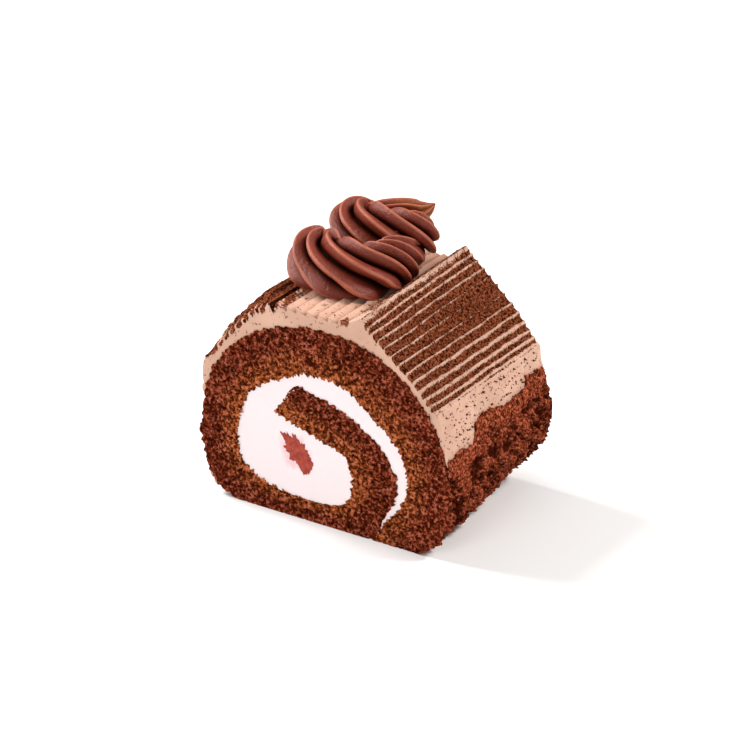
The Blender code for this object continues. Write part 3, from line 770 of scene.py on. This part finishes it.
def coatRelief(look, line, u, y, starts, crestAt):
    # How far the coat's top stands out from its line, its cocoa, and its painted shade. The panels have
    # bells, and the channel has teeth, which rise from each rim to the next by tooth^1.4.
    channelAt, grooveAt, leftAt, sideAt = starts[1:5]
    fromFront = y - frontY
    back = depthShare(y)
    down, below = crestAt - u, u - leftAt
    anyDepth = np.ones_like(y, bool)
    onRight, onLeft = (u <= crestAt) & anyDepth, (u >= leftAt) & (u <= sideAt) & anyDepth
    onChannel = (u > channelAt) & (u < grooveAt)

    height = cocoa = top = 0.0
    for side, on, gap, end, seed in (
        ("right", onRight, down, u / 1.2, 71), ("left", onLeft, below, (sideAt - u) / 1.5, 81)
    ):
        high, pale = ridgeBells(gap, y, look[side + "Ridges"], look[side + "Pace"], seed)
        height = np.where(on, -look["ridgeDepth"] * (1 - high) * (ease(gap / 0.9) * ease(end)), height)
        cocoa = np.where(on, 1.0 - pale, cocoa)
        top = np.where(on, high, top)
    shoulder = look["shoulder"] * (1 - ease(fromFront / 7.0)) * ease(below / 3.0)
    shoulder = shoulder * ease((sideAt + 4 - u) / 9.0)
    height = height - np.where((u >= leftAt) & (u <= sideAt + 4), shoulder, 0.0)

    rims = np.array(look["channelRims"])
    over = u - channelAt + 0.25 * noiseAt(y, 0, 0, 14.0, 91)
    rim = np.clip(np.searchsorted(rims, over) - 1, 0, len(rims) - 2)
    tooth = np.clip((over - rims[rim]) / (rims[rim + 1] - rims[rim]), 0, 1)
    height = np.where(onChannel, -look["rimDepth"] * (1 - tooth**1.4), height)
    # painted shade in the crease at the foot of each tooth
    paintedShade = np.where(onChannel, 0.1 + 0.9 * (1 - tooth) ** 2.2 * ease(tooth * 12), 0.0)
    # painted shadow of the piped rope over the back part of the channel
    paintedShade = paintedShade + 0.3 * onChannel * ease((fromFront - 7.0) / 8.0)
    # painted shadow, nearly black, down in the groove beside the left panel
    paintedShade = np.where((u >= grooveAt - 0.8) & (u <= leftAt - 0.2), 1.6, paintedShade)

    # cocoa strays onto both sides of the channel and its right front corner, and covers the left crest
    stray = np.maximum(1.3 * ease((over - 18.6) / 2.2), 0.8 * ease((2.6 - over) / 2.0) * ease(back * 5))
    stray = np.maximum(stray, 1.2 * ease((2.9 - over) / 0.8) * ease((over + 0.3) / 0.8) * (back < 0.07))
    stray = stray * (0.75 + 0.6 * roughAt(over, y, 0, 1.2, 93))
    stray = np.clip(0.8 * stray + 0.1 * (u < channelAt), 0, 1)
    cocoa = np.where((u > crestAt) & (u < leftAt), stray, cocoa)
    cocoa = np.where(onLeft, np.maximum(cocoa, 1.2 * ease((4.0 - below) / 2.5) * ease(back * 6)), cocoa)
    # the powder stops short of the cut faces in a ragged line, further in on the ridges
    stop = -0.35 + 0.45 * top + 0.45 * noiseAt(u, 0, 0, 0.7, 95) + 0.3 * noiseAt(u, 0, 0, 2.7, 96)
    cocoa = cocoa * ease((fromFront - stop) / 0.35 + 0.5) * ease((backY - y - stop) / 0.35 + 0.5)
    cocoa = cocoa * ease((sideAt + 2.0 - u) / 2.0) * ease((u + 0.4) / 0.8)
    height = height + ease((cocoa - 0.35) / 0.3) * (0.12 + 0.11 * roughAt(u, y, 0, 0.75, 97))
    height = height + 0.05 * noiseAt(u, y, 0, 3.0, 98)
    height = height - 0.35 * (1 - ease(np.minimum(fromFront, backY - y) / 0.5)) ** 2

    # the thin skin is worn through in a ragged strip beside the cut face
    z = line[:, 1:]
    wander = 2.2 * roughAt(z, y, 0, 2.4, 99)
    worn = ease((z - 4.5 + wander) / 3.0) * ease((31.0 - z + 2 * wander) / 6.0) * (u > sideAt)
    height = height - 1.6 * worn * (1 - ease((fromFront - 1.0 + wander) / 5.0))
    return height, cocoa, paintedShade


def coatSkirt(look, y):
    # The skirt hangs from the right panel's foot to its ragged lower edge and thins downwards by
    # above^1.3. One more row folds its edge in under the crumb. Returns its outside and its inside.
    _, sheet, rows, _ = sheetSection()
    side = sheet[(rows >= 16) & (rows <= 20)][::-1]
    footX, footZ = look["rightPanel"][0]
    edge = coatEdge(y) - look["overlap"]
    z = footZ + (edge - footZ) * np.linspace(1, 0, look["skirtSteps"], endpoint=False)[:, None]
    sideX = np.interp(z, side[:, 1], side[:, 0])
    footX = footX - np.interp(footZ, side[:, 1], side[:, 0])
    above = np.clip((z - edge - 2.4) / (footZ - edge - 2.4), 0, 1)
    thick = 0.5 + (footX - 0.5) * above**1.3 + (0.1 + 0.25 * above) * noiseAt(z, y, 0, 4.5, 103)
    thick = thick + 0.06 * noiseAt(z, y, 0, 1.1, 104)
    z, thick, sideX = (np.vstack([v[:1], v]) for v in (z, thick, sideX))
    tucked = np.full(z.shape, 0.6)
    thick[0], tucked[0] = -2.4, 2.5
    y = y + 0 * z
    return (
        xyz(np.minimum(sideX + thick, rightX), y, z),
        xyz(sideX - tucked, y, z + 0.1),
    )


def combCoat():
    # A closed section at each step from the skirt's edge over the top to the left foot: along the
    # outside from front to back, down the back face, along the inside and up the front face.
    look = coatLook
    line, stations, starts, crestAt = coatStations(look)
    nearFace = np.concatenate([np.arange(0, 2.4, 0.2), np.arange(2.4, 4.8, 0.35)])
    middleY = np.arange(frontY + 5.0, backY - 4.6, 0.5)
    y = np.concatenate([frontY + nearFace, middleY, backY - nearFace[::-1]])[None, :]
    along = np.gradient(line, axis=0)
    kernel = np.hanning(9)[1:-1] / np.hanning(9)[1:-1].sum()
    along = [np.convolve(np.pad(column, 3, mode="edge"), kernel, mode="valid") for column in along.T]
    along = unit(np.column_stack(along))
    outward = np.column_stack([along[:, 1], -along[:, 0]])
    height, cocoa, paintedShade = coatRelief(look, line, stations[:, None], y, starts, crestAt)
    footZ, crestZ = look["rightPanel"][0][1], look["rightPanel"][-1][1]
    lift = look["crestRise"] * ease((line[:, :1] - look["channel"][0][0]) / 3.0)
    lift = lift * ease((line[:, 1:] - footZ) / (crestZ - footZ)) * (y - frontY) / (backY - frontY)
    x = line[:, :1] + outward[:, :1] * height
    outerTop = xyz(x, y + 0 * x, line[:, 1:] + outward[:, 1:] * height + lift)

    # the inside follows the sheet, under the top and then under the thin skin
    _, sheet, rows, _ = sheetSection()
    onTop = (rows >= skinRows[1]) & (rows <= bareRow)
    onSkin = (rows >= skinRows[0]) & (rows <= skinRows[1])
    skinAt = starts[5]
    shareTop, shareSkin = stations / skinAt, (stations - skinAt) / (stations[-1] - skinAt)
    under, lower = (
        pointsAlong(side, np.clip(share, 0, 1) * lengthsAlong(side)[-1])
        for side, share in ((sheet[onTop][::-1], shareTop), (sheet[onSkin][::-1], shareSkin))
    )
    under = np.where(stations[:, None] < skinAt, under, lower) - outward * 0.6
    underTop = xyz(under[:, :1] + 0 * y, y + 0 * x, under[:, 1:] + 0 * y)

    skirtTop, skirtInner = coatSkirt(look, y)
    surface = np.concatenate([skirtTop, outerTop])
    inside = np.concatenate([skirtInner, underTop])
    f = np.linspace(0, 1, look["faceSteps"] + 1)[None, 1:-1, None]
    backFace = surface[:, -1:] + (inside[:, -1:] - surface[:, -1:]) * f
    frontFace = inside[:, :1] + (surface[:, :1] - inside[:, :1]) * f
    wide = np.linalg.norm(surface[:, 0] - inside[:, 0], axis=-1)[:, None]
    # the two faces are a little sunk and uneven, and drop where they meet the crumb
    sides = ((frontFace, 1, frontY, f[..., 0]), (backFace, -1, backY, 1 - f[..., 0]))
    for face, sign, level, fromInside in sides:
        sunk = 0.16 + 0.04 * noiseAt(face[..., 0], 0, face[..., 2], 4.0, 105)
        sunk = sunk + 0.03 * noiseAt(face[..., 0], 0, face[..., 2], 0.9, 107)
        face[..., 1] = level + sign * (sunk + 0.35 * ease(1 - fromInside * wide / 0.9))
    insideY = np.linspace(backY - 0.6, frontY + 0.6, look["innerSteps"] + 1)
    innerFace = inside[:, np.interp(insideY, y[0], np.arange(y.shape[1])).round().astype(int)]
    innerFace[..., 1] = insideY
    surface[:, 0, 1], surface[:, -1, 1] = frontY + 0.2, backY - 0.2
    grid = np.concatenate([surface, backFace, innerFace, frontFace], axis=1)

    skirtZ = skirtTop[..., 2]
    dust = np.concatenate([np.zeros(skirtZ.shape), cocoa])
    marks = {"cocoa": np.zeros(grid.shape[:2]), "paintedShade": np.zeros(grid.shape[:2])}
    marks["cocoa"][:, : dust.shape[1]] = dust
    marks["cocoa"][:, -1] = 0.6 * dust[:, 0]
    # painted shade on the skirt, uneven by noise
    shade = 0.16 + 0.12 * noiseAt(skirtZ, y, 0, 3.0, 106)
    marks["paintedShade"][:, : dust.shape[1]] = np.concatenate([shade, paintedShade])
    settle(sweptMesh("combCoat", grid, combedCream, marks), "chocolate_cream", "choco_coat")
    return surface, dust


coatSurface, coatDust = combCoat()

swirlLook = {
    "middle": (-4.9, -0.6),
    "reachY": 6.4,
    "slant": -0.16,
    "pitch": 15.6,
    # angle, half width, height of the middle and radius; 0 is a loop's right end, -90 its front
    "stations": (
        (-262, 5.5, 65.5, 4.0), (-225, 8.5, 66.5, 6.6),
        (-180, 11.4, 66.6, 7.8), (-90, 11.0, 66.8, 8.2),
        (0, 8.2, 66.4, 7.6), (90, 8.4, 66.4, 6.8),
        (180, 8.6, 70.4, 7.5), (270, 9.8, 71.6, 8.2),
        (372, 7.9, 68.6, 6.8),
    ),
    "stepDeg": 1.0,
    "smoothDeg": 15.0,
    "twist": 1.0,  # degrees a millimetre
    "headingTwist": 1.3,  # turns for each turn of the heading
    "endRound": 5.0,  # the rope's end is rounded over this length
    "squeeze": 0.7,  # share of a bend's radius that the rope may fill
    "sag": 2.6,
    "sunk": 0.7,  # how deep the rope presses into what it rests on
    "ribs": 7,
    "pointsARib": 16,
    "ribDepth": 0.5,
    "lobeShare": 0.35,
    "tail": (
        (-11.0, 13.0, 72.5, 3.8), (-6.5, 16.0, 74.1, 3.6), (-2.5, 18.5, 74.7, 3.4),
        (0.5, 20.4, 74.3, 3.3), (2.6, 21.9, 75.1, 2.1), (4.2, 23.0, 76.5, 0.2),
    ),
    "core": (
        (-8.0, -5.0, 65.5, 3.0), (-5.5, 2.0, 66.0, 5.4), (-5.0, 10.0, 66.5, 5.8), (-4.0, 17.0, 67.0, 4.0)
    ),
    # x and z of the coat's top, which the rope rests on
    "bed": ((-60.0, 25.0), (-21.5, 60.9), (-14.0, 61.2), (7.4, 61.5), (13.1, 65.3), (60.0, 25.0)),
}


def ribShape(turn, look):
    # 0 on a crest and 1 in a valley: half a rounded lobe, half straight faces, with a creased valley
    phase = turn * look["ribs"] / 2
    lobe = 1 - np.abs(np.cos(phase))
    straight = 1 - np.abs(np.mod(phase / math.pi, 1.0) * 2 - 1)
    straight = np.sqrt(np.minimum(straight, 2 - straight) ** 2 + 0.008) - 0.09
    return look["lobeShare"] * lobe + (1 - look["lobeShare"]) * straight


def starSections(line, radii, bends, twists, look, seed):
    # Star sections along a line: r = R(1 - depth * rib), a little uneven. On the inside of a bend the
    # section is squeezed by limit * tanh(out / limit).
    along = unit(np.gradient(line, axis=0))
    outward = unit(np.cross(along, (0.0, 0.0, 1.0)))
    upward = np.cross(outward, along)
    count = look["ribs"] * look["pointsARib"]
    turn = np.arange(count)[None, :] / count * 2 * math.pi
    rib = ribShape(turn, look) + np.zeros((len(line), 1))
    far = lengthsAlong(line)[:, None]
    uneven = 0.22 * noiseAt(far, np.cos(turn) * 6, np.sin(turn) * 6, 3.1, seed)
    creases = 0.05 * noiseAt(far * 0.35, np.cos(turn) * 9, np.sin(turn) * 9, 0.8, seed + 1)
    reach = radii[:, None] * (1 - look["ribDepth"] * rib) + (uneven + creases) * (radii / 8.0)[:, None]
    out = reach * np.cos(turn + twists[:, None])
    up = reach * np.sin(turn + twists[:, None])
    limit = look["squeeze"] * bends[:, None]
    out = np.where(out < 0, limit * np.tanh(out / limit), out)
    return line[:, None] + out[..., None] * outward[:, None] + up[..., None] * upward[:, None], rib


def ropeLine(look):
    # Loops seen from above: an ellipse whose middle moves back by the pitch each turn
    table = np.array(look["stations"], float)
    angles = np.arange(table[0, 0], table[-1, 0] + 0.1, look["stepDeg"])
    half = int(3 * look["smoothDeg"])
    weights = np.exp(-0.5 * (np.arange(-half, half + 1) / look["smoothDeg"]) ** 2)
    weights /= weights.sum()
    width, height, radius = (
        np.convolve(np.pad(np.interp(angles, table[:, 0], c), half, mode="edge"), weights, mode="valid")
        for c in table.T[1:]
    )
    turn = np.radians(angles)
    x = look["middle"][0] + width * np.cos(turn)
    y = look["middle"][1] + look["pitch"] * (angles + 90) / 360 + look["reachY"] * np.sin(turn)
    y += look["slant"] * (x - look["middle"][0])
    pace = (width * np.sin(turn)) ** 2 + (look["reachY"] * np.cos(turn)) ** 2
    return np.column_stack([x, y, height]), radius, pace**1.5 / (width * look["reachY"])


def pipedSwirl():
    # The rope, its flicked tail and a core are closed tubes that overlap. The nozzle isn't turned, so
    # the rope turns about its own line as its heading changes, and a little more along its length.
    look = swirlLook
    line, radii, bends = ropeLine(look)
    lengths = lengthsAlong(line)
    fromEnd = np.clip((lengths[-1] - lengths) / look["endRound"], 0, 1)
    radii = radii * np.sqrt(np.maximum(1 - (1 - fromEnd) ** 2, 0.01))
    twists = -look["headingTwist"] * np.cumsum(np.diff(lengths, prepend=0.0) / bends)
    twists = twists - np.radians(look["twist"]) * lengths
    tubes = [(*starSections(line, radii, bends, twists, look, 111), 1.0)]
    # the tail and the core are straight, untwisted, and get less painted shade in their valleys
    for stations, seed in ((look["tail"], 115), (look["core"], 119)):
        curve = throughPoints(stations, 20)
        untwisted = np.zeros(len(curve))
        straight = untwisted + 1000.0
        tube = starSections(curve[:, :3], curve[:, 3], straight, untwisted, look, seed)
        tubes.append((*tube, 0.55))
    bedX, bedZ = np.array(look["bed"]).T
    points, faces, valleys, start = [], [], [], 0
    for tube, rib, valleyShade in tubes:
        # the front sags outwards where it rests on the channel
        tube[..., 1] -= look["sag"] * ease((67.0 - tube[..., 2]) / 5.0) * ease((-2.0 - tube[..., 1]) / 5.0)
        tube[..., 2] = np.maximum(tube[..., 2], np.interp(tube[..., 0], bedX, bedZ) - look["sunk"])
        rings, around = tube.shape[:2]
        faces += tubeFaces(rings, around, start)
        points.append(tube.reshape(-1, 3))
        valleys.append(rib.ravel() * valleyShade)
        start += rings * around
    # the valley mark carries the rope's painted shade in its valleys and painted highlight on its crests
    marks = {"valley": np.concatenate(valleys)}
    piece = addMesh("pipedSwirl", np.vstack(points), faces, pipedCream, marks, 179)
    settle(piece, "piped_chocolate", "piped_swirl")


pipedSwirl()

# Grains, specks and crumbs are uneven octahedra.
grainCorners = np.array([(1, 0, 0), (-1, 0, 0), (0, 1, 0), (0, -1, 0), (0, 0, 1), (0, 0, -1)], float)
grainFaces = [(0, 2, 4), (2, 1, 4), (1, 3, 4), (3, 0, 4), (2, 0, 5), (1, 2, 5), (3, 1, 5), (0, 3, 5)]
grainFaces = np.array(grainFaces)


def scatterLumps(name, places, sizes, stretch, turns, finish, seed):
    # Each place gets its own copy of the octahedron, stretched, turned about Z and made uneven
    random = np.random.default_rng(seed)
    count = len(places)
    shape = grainCorners[None] * (1 + 0.5 * (random.random((count, 6, 1)) - 0.5)) * stretch
    cos, sin = np.cos(turns)[:, None], np.sin(turns)[:, None]
    turned = shape.copy()
    turned[..., 0] = shape[..., 0] * cos - shape[..., 1] * sin
    turned[..., 1] = shape[..., 0] * sin + shape[..., 1] * cos
    points = places[:, None] + turned * sizes[:, None, None]
    faces = (grainFaces[None] + 6 * np.arange(count)[:, None, None]).reshape(-1, 3)
    return addMesh(name, points.reshape(-1, 3), faces.tolist(), finish)


powderLook = {"grains": 11000, "small": 0.10, "large": 0.24, "leastDust": 0.55, "seed": 5}


def cocoaPowder():
    # Loose grains at random places of the coat that are marked with cocoa
    look = powderLook
    random = np.random.default_rng(look["seed"])
    ring, row = np.nonzero(coatDust > look["leastDust"])
    inside = (row > 1) & (row < coatDust.shape[1] - 2)
    ring, row = ring[inside], row[inside]
    steps = np.gradient(coatSurface[0, :, 1])[row]  # fine rows near the faces take fewer grains
    chosen = random.choice(len(ring), look["grains"], p=steps / steps.sum())
    ring, row = ring[chosen], row[chosen]
    places = coatSurface[ring, row] + (random.random((len(ring), 3)) - 0.5) * (0.25, 0.4, 0.05)
    sizes = look["small"] + (look["large"] - look["small"]) * random.random(len(ring)) ** 2
    turns = random.random(len(ring)) * 2 * math.pi
    grains = scatterLumps("cocoaPowder", places, sizes, (1.0, 1.0, 0.8), turns, cocoaGrains, 6)
    settle(grains, "chocolate_cream")


cocoaPowder()

speckLook = {"skirt": 330, "channel": 60, "seed": 15}


def crumbSpecks():
    # Dark crumbs half sunk in the cream, on the skirt and in the channel
    look = speckLook
    random = np.random.default_rng(look["seed"])
    skirtRings = coatLook["skirtSteps"]
    top, deep = coatSurface[:skirtRings], coatSurface.shape[1]
    ring = random.integers(2, skirtRings - 2, look["skirt"])
    depths = frontY + 0.5 + (backY - frontY - 3) * random.random(look["skirt"])
    row = np.searchsorted(coatSurface[0, :, 1], depths)
    places = [top[ring, np.minimum(row, deep - 3)]]
    channel = (coatSurface[:, 3, 0] < 8.0) & (coatSurface[:, 3, 0] > -13.0) & (coatSurface[:, 3, 2] > 59.5)
    ring = random.choice(np.nonzero(channel)[0], look["channel"])
    places.append(coatSurface[ring, random.integers(3, deep // 2, look["channel"])])
    count = sum(len(group) for group in places)
    sizes = 0.13 + 0.42 * random.random(count) ** 2.2
    turns = random.random(count) * 3.1
    spots = scatterLumps("crumbSpecks", np.vstack(places), sizes, (0.5, 1.5, 0.8), turns, darkSpecks, 16)
    settle(spots, "cocoa_sponge")


crumbSpecks()

crumbLook = {"side": 520, "edge": 260, "seed": 25}


def cakeCrumbs(surface):
    # Loose crumbs on the torn side, more of them along where it meets the skirt
    look = crumbLook
    random = np.random.default_rng(look["seed"])
    away = surface[..., 2] - coatEdge(surface[..., 1])
    near = np.argwhere((away < 1.2) & (away > -2.2))
    low = np.argwhere(away < -2.0)
    near = near[random.integers(0, len(near), look["edge"])]
    low = low[random.integers(0, len(low), look["side"])]
    places = surface[tuple(np.vstack([near, low]).T)] - (0.15, 0, 0)
    sizes = 0.2 + 0.5 * random.random(len(places)) ** 2
    room = sizes * 1.25
    places[:, 0] = np.minimum(places[:, 0], rightX - room)
    places[:, 1] = np.clip(places[:, 1], frontY + room, backY - room)
    places[:, 2] = np.maximum(places[:, 2], room)
    turns = random.random(len(places)) * 3.1
    spots = scatterLumps("cakeCrumbs", places, sizes, (0.8, 1.0, 0.9), turns, tornCrumb, 26)
    settle(spots, "cocoa_sponge")


cakeCrumbs(tornSurface)

floorLook = {"size": 4.0, "colour": (0.93, 0.925, 0.92)}


def paleFloor():
    half = floorLook["size"] / 2
    corners = [(-half, -half, 0), (half, -half, 0), (half, half, 0), (-half, half, 0)]
    mesh = bpy.data.meshes.new("floor")
    mesh.from_pydata(corners, [], [(0, 1, 2, 3)])
    floor = bpy.data.objects.new("floor", mesh)
    bpy.context.scene.collection.objects.link(floor)
    made, _, shader = startMaterial("paleFloor", 0.9, 0.1)
    shader.inputs["Base Color"].default_value = (*floorLook["colour"], 1.0)
    mesh.materials.append(made)


paleFloor()

cameraLook = {
    "azimuth": 33.2,
    "elevation": 25.4,
    "distance": 1.0,
    "target": (0.001036, -0.00159, 0.03476),
    "lens": 179.52,
    "sensor": 36.0,
}
roomLook = {"colour": (0.95, 0.97, 1.0), "strength": 0.25, "lampsFace": (0, 0, 0.03)}
lights = {
    # name: place, size, power, colour
    "key": ((-0.50, -0.05, 0.50), 0.25, 5.9, (1.0, 0.985, 0.97)),
    "front": ((0.05, -0.80, 0.40), 0.4, 2.45, (1.0, 0.99, 0.98)),
    "rim": ((0.42, 0.22, 0.52), 0.15, 3.7, (1.0, 0.97, 0.94)),
}


def studio():
    scene = bpy.context.scene
    azimuth, elevation = math.radians(cameraLook["azimuth"]), math.radians(cameraLook["elevation"])
    target = Vector(cameraLook["target"])
    flat = math.cos(elevation)
    away = Vector((math.sin(azimuth) * flat, -math.cos(azimuth) * flat, math.sin(elevation)))
    data = bpy.data.cameras.new("camera")
    data.lens, data.sensor_width = cameraLook["lens"], cameraLook["sensor"]
    camera = bpy.data.objects.new("camera", data)
    camera.location = target + away * cameraLook["distance"]
    camera.rotation_euler = away.to_track_quat("Z", "Y").to_euler()
    scene.collection.objects.link(camera)
    scene.camera = camera
    for name, (place, size, power, colour) in lights.items():
        lamp = bpy.data.lights.new(name, "AREA")
        lamp.size, lamp.energy, lamp.color = size, power, colour
        lit = bpy.data.objects.new(name, lamp)
        lit.location = place
        away = Vector(place) - Vector(roomLook["lampsFace"])
        lit.rotation_euler = away.to_track_quat("Z", "Y").to_euler()
        scene.collection.objects.link(lit)
    world = bpy.data.worlds.new("softRoom")
    world.use_nodes = True
    room = world.node_tree.nodes["Background"]
    room.inputs["Color"].default_value = (*roomLook["colour"], 1.0)
    room.inputs["Strength"].default_value = roomLook["strength"]
    scene.world = world
    scene.view_settings.view_transform = "Standard"


studio()
print("camera and lights set")
